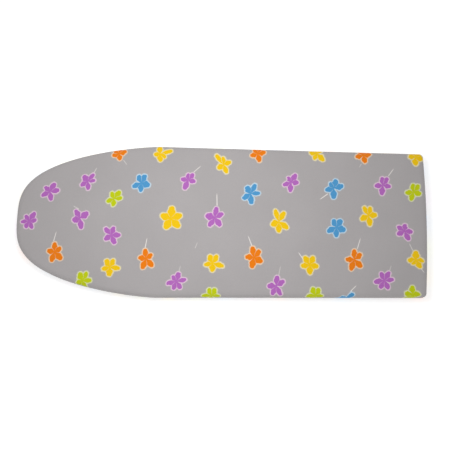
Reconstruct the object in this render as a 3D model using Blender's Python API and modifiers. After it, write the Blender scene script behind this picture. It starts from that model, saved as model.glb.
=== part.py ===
"""Tabletop ironing board with two folding leg frames, shown folded.

Metres, +Z up, nose towards -X, square end towards +X, feet resting on z = 0.
"""
import math

import bmesh
import bpy
from mathutils import Matrix, Vector

# ---------------------------------------------------------------- dimensions
LENGTH = 0.813
WIDTH = 0.305
NOSE_LENGTH = 0.283
NOSE_POWER_X = 1.528
NOSE_POWER_Y = 3.108
TAIL_TAPER = 0.060
TAIL_BOW = 0.004
CORNER_RADIUS = 0.008

AXIS_Z = 0.011
DECK_BOTTOM = 0.0250
DECK_TOP = 0.0260
PAD_BOTTOM = 0.0263
PAD_TOP = 0.0323
COVER_TOP = 0.0334
COVER_THICKNESS = 0.0008
GAP = 0.0003

RIM_OUTER = 0.0012
RIM_THICKNESS = 0.0012
RIM_BOTTOM = 0.0135
SHEET = 0.0015

PIVOT_X = 0.150
LEG_LENGTH = 0.168
LEG_BEND = 0.022
TUBE_RADIUS = 0.008
TUBE_WALL = 0.0012
TUBE_TAIL = 0.008
FRONT_HALF = 0.078
REAR_HALF = 0.096
OPEN_ANGLE = math.radians(72.0)

STAY_LENGTH = 0.075
WIRE_RADIUS = 0.0025
STAY_INSET = 0.012
STAY_BEND = 0.007
STAY_HOOK = 0.0034

GUIDE_START = 0.038
GUIDE_END = 0.1555
GUIDE_HALF = 0.0142
GUIDE_BOTTOM = 0.0045
SLOT_HALF = 0.0029

SLEEVE_RADIUS = 0.0125
SLEEVE_FLAT = 0.0110
SLEEVE_INNER = 0.0340
SLEEVE_OUTER = 0.0540

ENDS = (("front", -1.0, FRONT_HALF), ("rear", 1.0, REAR_HALF))
SIDES = (("left", 1.0), ("right", -1.0))

# ------------------------------------------------------------ empty the scene
for old in list(bpy.data.objects):
    bpy.data.objects.remove(old, do_unlink=True)

board = bpy.data.collections.new("ironing_board")
bpy.context.scene.collection.children.link(board)
cutters = bpy.data.collections.new("cutters")
bpy.context.scene.collection.children.link(cutters)


# ------------------------------------------------------------------ materials
def material(name, colour, roughness, metallic):
    made = bpy.data.materials.new(name)
    made.use_nodes = True
    shader = made.node_tree.nodes["Principled BSDF"]
    shader.inputs["Base Color"].default_value = (*colour, 1.0)
    shader.inputs["Roughness"].default_value = roughness
    shader.inputs["Metallic"].default_value = metallic
    made.diffuse_color = (*colour, 1.0)
    return made


COTTON = material("grey_cotton", (0.42, 0.40, 0.40), 0.85, 0.0)
FELT = material("white_felt", (0.86, 0.85, 0.82), 0.95, 0.0)
ELASTIC = material("grey_elastic", (0.33, 0.32, 0.32), 0.80, 0.0)
PAINTED = material("painted_deck_steel", (0.70, 0.71, 0.72), 0.45, 0.3)
RIM_PAINT = material("painted_rim_steel", (0.66, 0.67, 0.68), 0.42, 0.3)
BRACKET = material("zinc_bracket", (0.60, 0.61, 0.63), 0.38, 0.9)
CHROME = material("powder_coated_tube", (0.80, 0.80, 0.80), 0.35, 0.2)
WIRE = material("bright_wire", (0.68, 0.69, 0.71), 0.28, 1.0)
RIVET = material("steel_rivet", (0.62, 0.62, 0.63), 0.30, 1.0)
NYLON = material("white_nylon", (0.88, 0.87, 0.84), 0.50, 0.0)
RUBBER = material("dark_rubber", (0.06, 0.06, 0.065), 0.80, 0.0)
PLASTIC = material("grey_plastic", (0.25, 0.26, 0.27), 0.55, 0.0)


# -------------------------------------------------------------------- helpers
def add(name, mesh, look, where=(0.0, 0.0, 0.0), smooth=False, into=board):
    thing = bpy.data.objects.new(name, mesh)
    into.objects.link(thing)
    thing.location = where
    if look is not None:
        mesh.materials.clear()
        mesh.materials.append(look)
    for face in mesh.polygons:
        face.use_smooth = smooth
    return thing


def mesh_from(name, verts, faces):
    mesh = bpy.data.meshes.new(name)
    mesh.from_pydata([tuple(v) for v in verts], [], faces)
    shape = bmesh.new()
    shape.from_mesh(mesh)
    bmesh.ops.recalc_face_normals(shape, faces=shape.faces)
    shape.to_mesh(mesh)
    shape.free()
    return mesh


def curve_mesh(name, curve):
    """Turn a finished curve into a welded mesh."""
    holder = bpy.data.objects.new(name + "_curve", curve)
    bpy.context.scene.collection.objects.link(holder)
    bpy.context.view_layer.update()
    seen = bpy.context.evaluated_depsgraph_get()
    mesh = bpy.data.meshes.new_from_object(holder.evaluated_get(seen))
    mesh.name = name
    shape = bmesh.new()
    shape.from_mesh(mesh)
    bmesh.ops.remove_doubles(shape, verts=shape.verts, dist=0.00001)
    bmesh.ops.recalc_face_normals(shape, faces=shape.faces)
    shape.to_mesh(mesh)
    shape.free()
    bpy.data.objects.remove(holder, do_unlink=True)
    return mesh


def prism(name, loops, depth, basis=None):
    """Flat outline with holes, filled and given a thickness centred on its plane."""
    curve = bpy.data.curves.new(name, "CURVE")
    curve.dimensions = "2D"
    curve.fill_mode = "BOTH"
    curve.extrude = depth / 2
    for loop in loops:
        spline = curve.splines.new("POLY")
        spline.points.add(len(loop) - 1)
        for point, (u, v) in zip(spline.points, loop):
            point.co = (u, v, 0.0, 1.0)
        spline.use_cyclic_u = True
    mesh = curve_mesh(name, curve)
    if basis is not None:
        mesh.transform(basis)
    return mesh


def rod(name, path, radius, resolution, capped):
    """Round bar or bare tube wall along a bent centre line."""
    curve = bpy.data.curves.new(name, "CURVE")
    curve.dimensions = "3D"
    curve.bevel_depth = radius
    curve.bevel_resolution = resolution
    curve.use_fill_caps = capped
    spline = curve.splines.new("POLY")
    spline.points.add(len(path) - 1)
    for point, place in zip(spline.points, path):
        point.co = (*place, 1.0)
    return curve_mesh(name, curve)


def rising(profile):
    """Whether the profile runs anticlockwise in the (radius, height) plane."""
    area = 0.0
    for (ar, ah), (br, bh) in zip(profile, profile[1:] + profile[:1]):
        area += ar * bh - br * ah
    return area > 0.0


def turned(name, profile, look, where, direction, steps=16, closed=False):
    """Lathe a profile of (radius, height) points about an axis."""
    verts = [(r, 0.0, h) for r, h in profile]
    edges = [(i, i + 1) for i in range(len(profile) - 1)]
    if closed:
        edges.append((len(profile) - 1, 0))
    mesh = bpy.data.meshes.new(name)
    mesh.from_pydata(verts, edges, [])
    thing = add(name, mesh, look, where)
    spin = thing.modifiers.new("turn", "SCREW")
    spin.axis = "Z"
    spin.angle = math.tau
    spin.screw_offset = 0.0
    spin.steps = steps
    spin.render_steps = steps
    spin.use_merge_vertices = True
    spin.merge_threshold = 0.00001
    spin.use_normal_flip = rising(profile)
    spin.use_smooth_shade = True
    thing.rotation_mode = "QUATERNION"
    thing.rotation_quaternion = Vector((0, 0, 1)).rotation_difference(Vector(direction))
    return thing


def solidify(thing, thickness, offset=-1.0):
    skin = thing.modifiers.new("sheet", "SOLIDIFY")
    skin.thickness = thickness
    skin.offset = offset
    skin.use_even_offset = True
    return skin


def cut(thing, cutter_mesh, name):
    cutter = add(name, cutter_mesh, None, (0.0, 0.0, 0.0), into=cutters)
    cutter.hide_render = True
    cutter.display_type = "WIRE"
    hole = thing.modifiers.new(name, "BOOLEAN")
    hole.operation = "DIFFERENCE"
    hole.solver = "EXACT"
    hole.object = cutter


def circle(centre, radius, count, start=0.0):
    cx, cy = centre
    points = []
    for i in range(count):
        a = start + math.tau * i / count
        points.append((cx + radius * math.cos(a), cy + radius * math.sin(a)))
    return points


def arc(centre, radius, first, last, count):
    points = []
    for i in range(count + 1):
        a = first + (last - first) * i / count
        points.append((centre[0] + radius * math.cos(a), centre[1] + radius * math.sin(a)))
    return points


def xz_basis(y, scale_x=1.0):
    """Plane (u, v) laid on world (x, z) at a given y, with the thickness along y."""
    return Matrix(((scale_x, 0, 0, 0), (0, 0, -1, y), (0, 1, 0, 0), (0, 0, 0, 1)))


# -------------------------------------------------------------- board outline
NOSE_POINTS = 18
SIDE_POINTS = 5
CORNER_POINTS = 4
END_POINTS = 4


def nose_half(inset):
    """Upper half of the nose, from the tip to the full width, moved inwards."""
    fine = []
    for i in range(721):
        phi = (math.pi / 2) * (i / 720) ** 2.2
        u = math.cos(phi) ** (2 / NOSE_POWER_X)
        h = math.sin(phi) ** (2 / NOSE_POWER_Y)
        fine.append(((1 - u) * NOSE_LENGTH, h * WIDTH / 2))
    moved = []
    for i, (x, y) in enumerate(fine):
        ax, ay = fine[max(i - 1, 0)]
        bx, by = fine[min(i + 1, len(fine) - 1)]
        tx, ty = bx - ax, by - ay
        size = math.hypot(tx, ty)
        nx, ny = ty / size, -tx / size
        if i == 0:
            nx, ny = 1.0, 0.0
        if i == len(fine) - 1:
            nx, ny = 0.0, -1.0
        moved.append((x + nx * inset, max(y + ny * inset, 0.0)))
    lengths = [0.0]
    for (ax, ay), (bx, by) in zip(moved, moved[1:]):
        lengths.append(lengths[-1] + math.hypot(bx - ax, by - ay))
    picked = []
    for k in range(NOSE_POINTS + 1):
        want = lengths[-1] * k / NOSE_POINTS
        j = min(range(len(lengths)), key=lambda n: abs(lengths[n] - want))
        picked.append(moved[j])
    return picked


def outline(inset):
    """Closed outline of the board moved inwards by inset, always the same count."""
    upper = nose_half(inset)
    radius = max(CORNER_RADIUS - inset, 0.004)
    end_x = LENGTH - inset
    end_y = WIDTH / 2 * (1 - TAIL_TAPER) - inset
    corner_x = end_x - TAIL_BOW - radius
    start_x, start_y = upper[-1]
    for k in range(1, SIDE_POINTS + 1):
        t = k / SIDE_POINTS
        upper.append((start_x + (corner_x - start_x) * t, start_y + (end_y - start_y) * t))
    centre = (corner_x, end_y - radius)
    upper += arc(centre, radius, math.pi / 2, 0.0, CORNER_POINTS)[1:]
    for k in range(1, END_POINTS + 1):
        y = (end_y - radius) * (1 - k / END_POINTS)
        x = end_x - TAIL_BOW * (y / (end_y - radius)) ** 2
        upper.append((x, y))
    lower = [(x, -y) for x, y in reversed(upper[1:-1])]
    return [(x - LENGTH / 2, y) for x, y in upper + lower]


def ring_loft(name, rings, closed=False, top=False, bottom=False):
    """Skin the outline through (inset, height) pairs."""
    verts = []
    faces = []
    count = len(outline(0.0))
    for inset, z in rings:
        verts += [(x, y, z) for x, y in outline(inset)]
    spans = len(rings) if closed else len(rings) - 1
    for r in range(spans):
        a = r * count
        b = ((r + 1) % len(rings)) * count
        for i in range(count):
            j = (i + 1) % count
            faces.append((a + i, a + j, b + j, b + i))
    if top:
        faces.append(tuple(range(count)))
    if bottom:
        faces.append(tuple(range((len(rings) - 1) * count, len(rings) * count)))
    return mesh_from(name, verts, faces)


# ------------------------------------------------------------ cover, pad, hem
cover_rings = [
    (0.0130, COVER_TOP),
    (0.0070, 0.0329),
    (0.0030, 0.0312),
    (0.0007, 0.0282),
    (0.0000, 0.0240),
    (0.0000, 0.0125),
    (0.0013, 0.0099),
    (0.0045, 0.0088),
    (0.0100, 0.0096),
    (0.0240, 0.0140),
]
cover = add("cover", ring_loft("cover", cover_rings, top=True), COTTON, smooth=True)
solidify(cover, COVER_THICKNESS)

pad_rings = [
    (0.0135, PAD_TOP),
    (0.0075, 0.0317),
    (0.0042, 0.0304),
    (0.0021, 0.0281),
    (0.0017, PAD_BOTTOM),
]
pad = add("pad", ring_loft("pad", pad_rings, top=True, bottom=True), FELT, smooth=True)

elastic_rings = [
    (0.0245, 0.0140),
    (0.0262, 0.0128),
    (0.0306, 0.0142),
    (0.0318, 0.0160),
    (0.0302, 0.0172),
    (0.0258, 0.0158),
]
cover_elastic = add(
    "cover_elastic", ring_loft("cover_elastic", elastic_rings, closed=True), ELASTIC, smooth=True
)

# ------------------------------------------------------------- deck and rim
HOLE_RADIUS = 0.005
HOLE_PITCH = 0.060
HOLE_ROWS = (-0.120, -0.090, -0.060, -0.030, 0.0, 0.030, 0.060, 0.090, 0.120)


def deck_holes():
    edge = outline(RIM_OUTER + RIM_THICKNESS + 0.012)
    holes = []
    for row, y in enumerate(HOLE_ROWS):
        shift = HOLE_PITCH / 2 if row % 2 else 0.0
        for k in range(-7, 8):
            x = k * HOLE_PITCH + shift
            if y == 0.0 and abs(x) > PIVOT_X + GUIDE_START - 0.012:
                continue
            if abs(abs(x) - PIVOT_X) < 0.022 and abs(y) > 0.080:
                continue
            if inside(edge, x, y):
                holes.append(circle((x, y), HOLE_RADIUS, 6))
    return holes


def inside(loop, x, y):
    crossings = False
    for (ax, ay), (bx, by) in zip(loop, loop[1:] + loop[:1]):
        if (ay > y) != (by > y) and x < ax + (y - ay) / (by - ay) * (bx - ax):
            crossings = not crossings
    return crossings


deck_loops = [outline(RIM_OUTER + RIM_THICKNESS + GAP)] + deck_holes()
deck_place = Matrix.Translation((0.0, 0.0, (DECK_BOTTOM + DECK_TOP) / 2))
deck_panel = add(
    "deck_panel",
    prism("deck_panel", deck_loops, DECK_TOP - DECK_BOTTOM, deck_place),
    PAINTED,
)

rim_rings = [
    (RIM_OUTER, DECK_TOP),
    (RIM_OUTER, RIM_BOTTOM),
    (RIM_OUTER + RIM_THICKNESS, RIM_BOTTOM),
    (RIM_OUTER + RIM_THICKNESS, DECK_TOP),
]
rim_band = add("rim_band", ring_loft("rim_band", rim_rings, closed=True), RIM_PAINT)


# ------------------------------------------------- folded sheet-metal pieces
def folded_strip(name, section, start, end, along, look, thickness):
    """Open section of (u, z) points pulled along x or y, then given a thickness."""
    verts = []
    for place in (start, end):
        for u, z in section:
            verts.append((place, u, z) if along == "x" else (u, place, z))
    n = len(section)
    faces = [(i, i + 1, n + i + 1, n + i) for i in range(n - 1)]
    thing = add(name, mesh_from(name, verts, faces), look)
    solidify(thing, thickness, 0.0)
    return thing


mount_z = DECK_BOTTOM - GAP - SHEET / 2
RIB_X = 0.105
RIB_HALF = 0.124
for end, sign, half in ENDS:
    x = sign * RIB_X
    rib_section = [
        (x - 0.0070, mount_z),
        (x - 0.0035, mount_z - 0.0050),
        (x + 0.0035, mount_z - 0.0050),
        (x + 0.0070, mount_z),
    ]
    folded_strip("cross_rib_" + end, rib_section, -RIB_HALF, RIB_HALF, "y", PAINTED, 0.0010)


def slot_loop():
    """Long slot with a shallow locking notch above its inner, legs-open end."""
    inner = 2 * STAY_LENGTH * math.cos(OPEN_ANGLE)
    outer = 2 * STAY_LENGTH
    loop = arc((outer, AXIS_Z), SLOT_HALF, -math.pi / 2, math.pi / 2, 6)
    loop += [(inner + 0.0062, AXIS_Z + SLOT_HALF)]
    loop += arc((inner, AXIS_Z + 0.0030), SLOT_HALF, math.radians(20), math.pi, 5)
    loop += arc((inner, AXIS_Z), SLOT_HALF, math.pi, math.pi * 1.5, 3)
    return loop


for end, sign, half in ENDS:
    wall = GUIDE_HALF - SHEET / 2
    guide_section = [
        (-wall, GUIDE_BOTTOM),
        (-wall, mount_z),
        (wall, mount_z),
        (wall, GUIDE_BOTTOM),
    ]
    near = sign * (PIVOT_X + GUIDE_START)
    far = sign * (PIVOT_X + GUIDE_END)
    guide = folded_strip("stay_guide_" + end, guide_section, near, far, "x", BRACKET, SHEET)
    loop = [(sign * (PIVOT_X + u), v) for u, v in slot_loop()]
    cut(guide, prism("slot_" + end, [loop], 0.060, xz_basis(0.0)), "slot_" + end)

CLIP_GAP = TUBE_RADIUS + 0.0006
for end, sign, half in ENDS:
    x = sign * (PIVOT_X + LEG_LENGTH)
    arm = CLIP_GAP + 0.0008
    clip_section = [
        (x - arm, AXIS_Z - 0.0045),
        (x - arm, mount_z - 0.0008),
        (x + arm, mount_z - 0.0008),
        (x + arm, AXIS_Z - 0.0045),
    ]
    folded_strip("leg_clip_" + end, clip_section, -0.010, 0.010, "y", PLASTIC, 0.0016)


def pivot_bracket(name, sign, side, half):
    """Ear with a rounded lower end and a flange turned outwards under the deck."""
    x = sign * PIVOT_X
    ear = side * (half + TUBE_RADIUS + 0.0019 + SHEET / 2)
    flange = ear + side * 0.018
    low = arc((x, AXIS_Z), 0.0070, math.pi, math.tau, 8)
    verts = [(x + 0.012, ear, mount_z), (x - 0.012, ear, mount_z)]
    verts += [(u, ear, v) for u, v in low]
    n = len(verts)
    verts += [(x - 0.012, flange, mount_z), (x + 0.012, flange, mount_z)]
    faces = [tuple(range(n)), (1, 0, n + 1, n)]
    thing = add(name, mesh_from(name, verts, faces), BRACKET)
    solidify(thing, SHEET, 0.0)
    hole = prism(name + "_bore", [circle((x, AXIS_Z), 0.0028, 12)], 0.008, xz_basis(ear))
    cut(thing, hole, name + "_bore")


# ------------------------------------------------------ leg frames and stays
def bend(path_corner, radius, first, last, count):
    return [(u, v, 0.0) for u, v in arc(path_corner, radius, first, last, count)]


def leg_path(sign, half):
    far = LEG_LENGTH
    right = bend((far - LEG_BEND, -half + LEG_BEND), LEG_BEND, -math.pi / 2, 0.0, 6)
    left = bend((far - LEG_BEND, half - LEG_BEND), LEG_BEND, 0.0, math.pi / 2, 6)
    path = [(-TUBE_TAIL, -half, 0.0)] + right + left + [(-TUBE_TAIL, half, 0.0)]
    return [(sign * x, y, z) for x, y, z in path]


def stay_path(sign, half):
    arm = half - STAY_INSET
    far = STAY_LENGTH
    r = STAY_BEND
    hook = STAY_HOOK
    path = [(0.0, -half - 0.0015, 0.0)]
    path += bend((hook, -arm - hook), hook, math.pi, math.pi / 2, 4)
    path += bend((far - r, -arm + r), r, -math.pi / 2, 0.0, 5)
    path += bend((far - r, arm - r), r, 0.0, math.pi / 2, 5)
    path += bend((hook, arm + hook), hook, -math.pi / 2, -math.pi, 4)
    path += [(0.0, half + 0.0015, 0.0)]
    return [(sign * x, y, z) for x, y, z in path]


def sleeve_loop(sign):
    """Round sleeve with one flat for the folded board and one for the open legs."""
    folded = Vector((0.0, -1.0))
    opened = Vector((sign * math.sin(OPEN_ANGLE), -math.cos(OPEN_ANGLE)))
    loop = []
    for i in range(28):
        a = math.tau * (i + 0.5) / 28
        ray = Vector((math.cos(a), math.sin(a)))
        reach = SLEEVE_RADIUS
        for flat in (folded, opened):
            toward = ray.dot(flat)
            if toward > 0.0:
                reach = min(reach, SLEEVE_FLAT / toward)
        loop.append((ray.x * reach, ray.y * reach))
    return loop


for end, sign, half in ENDS:
    pivot = (sign * PIVOT_X, 0.0, AXIS_Z)
    wall = rod("leg_tube_" + end, leg_path(sign, half), TUBE_RADIUS, 3, False)
    leg = add("leg_tube_" + end, wall, CHROME, pivot, smooth=True)
    solidify(leg, TUBE_WALL)
    stay_x = sign * (PIVOT_X + STAY_LENGTH)
    stay_bar = rod("wire_stay_" + end, stay_path(sign, half), WIRE_RADIUS, 2, True)
    add("wire_stay_" + end, stay_bar, WIRE, (stay_x, 0.0, AXIS_Z), smooth=True)
    bore = prism(
        "leg_bore_" + end, [circle((sign * PIVOT_X, AXIS_Z), 0.0028, 12)], 0.260, xz_basis(0.0)
    )
    cut(leg, bore, "leg_bore_" + end)
    stay_bore = prism(
        "stay_bore_" + end, [circle((stay_x, AXIS_Z), 0.0029, 12)], 2 * half, xz_basis(0.0)
    )
    cut(leg, stay_bore, "stay_bore_" + end)
    for side_name, side in SIDES:
        tag = end + "_" + side_name
        pivot_bracket("pivot_bracket_" + tag, sign, side, half)
        outward = (0.0, side, 0.0)
        place = (sign * PIVOT_X, side * half, AXIS_Z)
        face = TUBE_RADIUS + 0.0019 + SHEET
        rivet = [
            (0.0, -TUBE_RADIUS - 0.0018),
            (0.0034, -TUBE_RADIUS - 0.0014),
            (0.0042, -TUBE_RADIUS - GAP),
            (0.0025, -TUBE_RADIUS - GAP),
            (0.0025, face + GAP),
            (0.0050, face + GAP),
            (0.0044, face + 0.0016),
            (0.0, face + 0.0022),
        ]
        turned("pivot_rivet_" + tag, rivet, RIVET, place, outward, steps=14)
        washer = [
            (0.0028, TUBE_RADIUS + GAP),
            (0.0065, TUBE_RADIUS + GAP),
            (0.0065, TUBE_RADIUS + 0.0016),
            (0.0028, TUBE_RADIUS + 0.0016),
        ]
        turned("pivot_washer_" + tag, washer, NYLON, place, outward, steps=14, closed=True)
        plug = [
            (0.0, TUBE_TAIL + 0.0018),
            (0.0062, TUBE_TAIL + 0.0018),
            (0.0078, TUBE_TAIL + 0.0010),
            (0.0078, TUBE_TAIL + GAP),
            (TUBE_RADIUS - TUBE_WALL - 0.0006, TUBE_TAIL + GAP),
            (TUBE_RADIUS - TUBE_WALL - 0.0006, TUBE_TAIL - 0.0035),
            (0.0, TUBE_TAIL - 0.0035),
        ]
        turned("tube_plug_" + tag, plug, PLASTIC, place, (-sign, 0.0, 0.0), steps=14)
        middle = side * (SLEEVE_INNER + SLEEVE_OUTER) / 2
        bore_loop = circle((0.0, 0.0), TUBE_RADIUS + GAP, 16)
        sleeve = prism(
            "foot_sleeve_" + tag,
            [sleeve_loop(sign), bore_loop],
            SLEEVE_OUTER - SLEEVE_INNER,
            xz_basis(0.0),
        )
        foot = (sign * (PIVOT_X + LEG_LENGTH), middle, AXIS_Z)
        add("foot_sleeve_" + tag, sleeve, RUBBER, foot)
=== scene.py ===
"""Looks of a tabletop ironing board: printed cotton cover, felt pad, folding steelwork."""

import math
import random

import bmesh
import bpy
from mathutils import Matrix, Vector, noise


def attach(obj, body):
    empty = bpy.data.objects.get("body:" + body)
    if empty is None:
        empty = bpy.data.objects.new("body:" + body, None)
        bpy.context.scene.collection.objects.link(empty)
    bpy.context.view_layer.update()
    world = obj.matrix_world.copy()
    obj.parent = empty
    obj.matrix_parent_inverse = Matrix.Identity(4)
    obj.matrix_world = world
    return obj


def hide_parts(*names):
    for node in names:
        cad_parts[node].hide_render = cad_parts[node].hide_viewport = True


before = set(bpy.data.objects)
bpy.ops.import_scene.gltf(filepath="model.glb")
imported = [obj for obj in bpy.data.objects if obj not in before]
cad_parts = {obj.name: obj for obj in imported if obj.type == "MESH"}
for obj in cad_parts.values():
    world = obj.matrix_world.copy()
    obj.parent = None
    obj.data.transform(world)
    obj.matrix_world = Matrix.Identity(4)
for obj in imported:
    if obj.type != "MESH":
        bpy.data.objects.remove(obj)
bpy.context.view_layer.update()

# ---------- dimensions
LENGTH = 0.813
WIDTH = 0.305
NOSE_LENGTH = 0.283
NOSE_POWER_X = 1.528
NOSE_POWER_Y = 3.108
TAIL_TAPER = 0.060
TAIL_BOW = 0.004
CORNER_RADIUS = 0.008

AXIS_Z = 0.011
PIVOT_X = 0.150
LEG_LENGTH = 0.168
LEG_BEND = 0.022
TUBE_RADIUS = 0.008
TUBE_TAIL = 0.008
OPEN_ANGLE = math.radians(72.0)
STAY_LENGTH = 0.075
STAY_INSET = 0.012
STAY_BEND = 0.007
STAY_HOOK = 0.0034
WIRE_RADIUS = 0.0025
SHEET = 0.0015
DECK_BOTTOM = 0.0250
DECK_TOP = 0.0260
SLEEVE_RADIUS = 0.0125
SLEEVE_FLAT = 0.0110
SLEEVE_INNER = 0.0340

ENDS = (("front", -1.0, 0.078), ("rear", 1.0, 0.096))
SIDES = (("left", 1.0), ("right", -1.0))
MM = 0.001

# ---------- camera
CAMERA_DISTANCE = 1.60
CAMERA_LENS = 64.7
CAMERA_AIM = Vector((0.0103, -0.0070, 0.0270))
CAMERA_TILT_SIDE = math.radians(11.27)
CAMERA_TILT_ALONG = math.radians(2.26)
CAMERA_ROLL = math.radians(1.33)


def placed(name, data):
    """A new object, linked to the scene."""
    thing = bpy.data.objects.new(name, data)
    bpy.context.scene.collection.objects.link(thing)
    return thing


def make_camera():
    data = bpy.data.cameras.new("camera")
    data.lens = CAMERA_LENS
    data.sensor_width = 36.0
    data.clip_end = 50.0
    toward = Vector((math.sin(CAMERA_TILT_ALONG), -math.sin(CAMERA_TILT_SIDE), 0.0))
    toward.z = math.sqrt(1.0 - toward.x**2 - toward.y**2)
    right = Vector((0.0, 1.0, 0.0)).cross(toward).normalized()
    up = toward.cross(right)
    c, s = math.cos(CAMERA_ROLL), math.sin(CAMERA_ROLL)
    turned_right = right * c + up * s
    turned_up = up * c - right * s
    camera = placed("camera", data)
    spot = CAMERA_AIM + toward * CAMERA_DISTANCE
    columns = (turned_right, turned_up, toward, spot)
    camera.matrix_world = Matrix([[v[i] for v in columns] for i in range(3)] + [[0, 0, 0, 1]])
    bpy.context.scene.camera = camera


make_camera()
bpy.context.scene.view_settings.view_transform = "Standard"


# ---------- shader tools
class Nodes:
    """Short spelling for building a node tree."""

    def __init__(self, tree):
        self.tree = tree

    def put(self, kind, **values):
        node = self.tree.nodes.new(kind)
        for name, value in values.items():
            setattr(node, name, value)
        return node

    def feed(self, socket, value):
        if isinstance(value, bpy.types.NodeSocket):
            self.tree.links.new(value, socket)
        elif value is not None:
            socket.default_value = value

    def run(self, node, *values):
        """Feed the values to a node's sockets in order."""
        for socket, value in zip(node.inputs, values):
            self.feed(socket, value)
        return node.outputs[0]

    def math(self, operation, *values, clamp=False):
        return self.run(self.put("ShaderNodeMath", operation=operation, use_clamp=clamp), *values)

    def vector(self, operation, a, b=None, scale=None, out=0):
        node = self.put("ShaderNodeVectorMath", operation=operation)
        self.run(node, a, b)
        if scale is not None:
            self.feed(node.inputs["Scale"], scale)
        return node.outputs[out]

    def ramp(self, value, low, high, out_low=0.0, out_high=1.0, curve="LINEAR"):
        node = self.put("ShaderNodeMapRange", interpolation_type=curve)
        return self.run(node, value, low, high, out_low, out_high)

    def smooth(self, *span):
        return self.ramp(*span, curve="SMOOTHSTEP")

    def mix(self, factor, a, b):
        node = self.put("ShaderNodeMix", data_type="RGBA")
        self.feed(node.inputs[0], factor)
        self.feed(node.inputs[6], a)
        self.feed(node.inputs[7], b)
        return node.outputs[2]

    def noise(self, where, scale, detail=2.0, rough=0.5, out="Fac"):
        node = self.put("ShaderNodeTexNoise")
        named = {"Vector": where, "Scale": scale, "Detail": detail, "Roughness": rough}
        for name, value in named.items():
            self.feed(node.inputs[name], value)
        return node.outputs[out]

    def patches(self, where, scale, low, high, detail=2.0):
        """Soft patches between a low and a high value."""
        return self.ramp(self.noise(where, scale, detail), 0.3, 0.7, low, high)

    def attribute(self, name, out="Vector"):
        return self.put("ShaderNodeAttribute", attribute_name=name).outputs[out]

    def split(self, value):
        return self.run(self.put("ShaderNodeSeparateXYZ"), value).node.outputs

    def join(self, x, y, z):
        return self.run(self.put("ShaderNodeCombineXYZ"), x, y, z)

    def bump(self, height, strength, distance, normal=None):
        node = self.put("ShaderNodeBump")
        node.inputs["Strength"].default_value = strength
        node.inputs["Distance"].default_value = distance
        self.feed(node.inputs["Height"], height)
        self.feed(node.inputs["Normal"], normal)
        return node.outputs[0]


def new_material(name, colour, roughness, metallic=0.0):
    """A Principled material with its constants on the shader's own sockets."""
    made = bpy.data.materials.new(name)
    made.use_nodes = True
    shader = made.node_tree.nodes["Principled BSDF"]
    shader.inputs["Base Color"].default_value = (*colour, 1.0)
    shader.inputs["Roughness"].default_value = roughness
    shader.inputs["Metallic"].default_value = metallic
    made.diffuse_color = (*colour, 1.0)
    return made, shader, Nodes(made.node_tree)


def object_place(n):
    return n.put("ShaderNodeTexCoord").outputs["Object"]


def surface(n, shader, colour, tone, relief, strength, depth, roughness=None):
    """Feed the varying tone, relief and roughness of a surface to its shader."""
    n.feed(shader.inputs["Base Color"], n.vector("SCALE", colour, scale=tone))
    n.feed(shader.inputs["Normal"], n.bump(relief, strength, depth))
    n.feed(shader.inputs["Roughness"], roughness)


def painted(name, colour, roughness):
    """Powder coat: faint orange-peel, slightly dusty tone changes."""
    made, shader, n = new_material(name, colour, roughness)
    place = object_place(n)
    tone = n.patches(place, 22.0, 0.975, 1.02, 3.0)
    dull = n.patches(place, 120.0, roughness - 0.06, roughness + 0.08)
    surface(n, shader, colour, tone, n.noise(place, 900.0, 1.0), 0.25, 0.0002, dull)
    shader.inputs["Coat Weight"].default_value = 0.15
    shader.inputs["Coat Roughness"].default_value = 0.25
    return made


def metal(name, colour, roughness, streak):
    """Plated or drawn steel with fine streaks and dull patches."""
    made, shader, n = new_material(name, colour, roughness, 1.0)
    place = object_place(n)
    drawn = n.noise(n.vector("MULTIPLY", place, streak), 1.0, 3.0)
    blotch = n.noise(place, 60.0, 3.0)
    tone = n.math("MULTIPLY_ADD", drawn, 0.14, n.ramp(blotch, 0.3, 0.7, 0.84, 0.98))
    dull = n.math("MULTIPLY_ADD", blotch, 0.22, roughness - 0.08)
    surface(n, shader, colour, tone, drawn, 0.12, 0.0002, dull)
    return made


def plastic(name, colour, roughness, grain=1600.0):
    """Moulded plastic or rubber with a fine spark-eroded grain."""
    made, shader, n = new_material(name, colour, roughness)
    place = object_place(n)
    tone = n.patches(place, 90.0, 0.86, 1.12, 3.0)
    dull = n.patches(place, 260.0, roughness - 0.07, roughness + 0.09)
    surface(n, shader, colour, tone, n.noise(place, grain), 0.35, 0.00015, dull)
    return made


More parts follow.
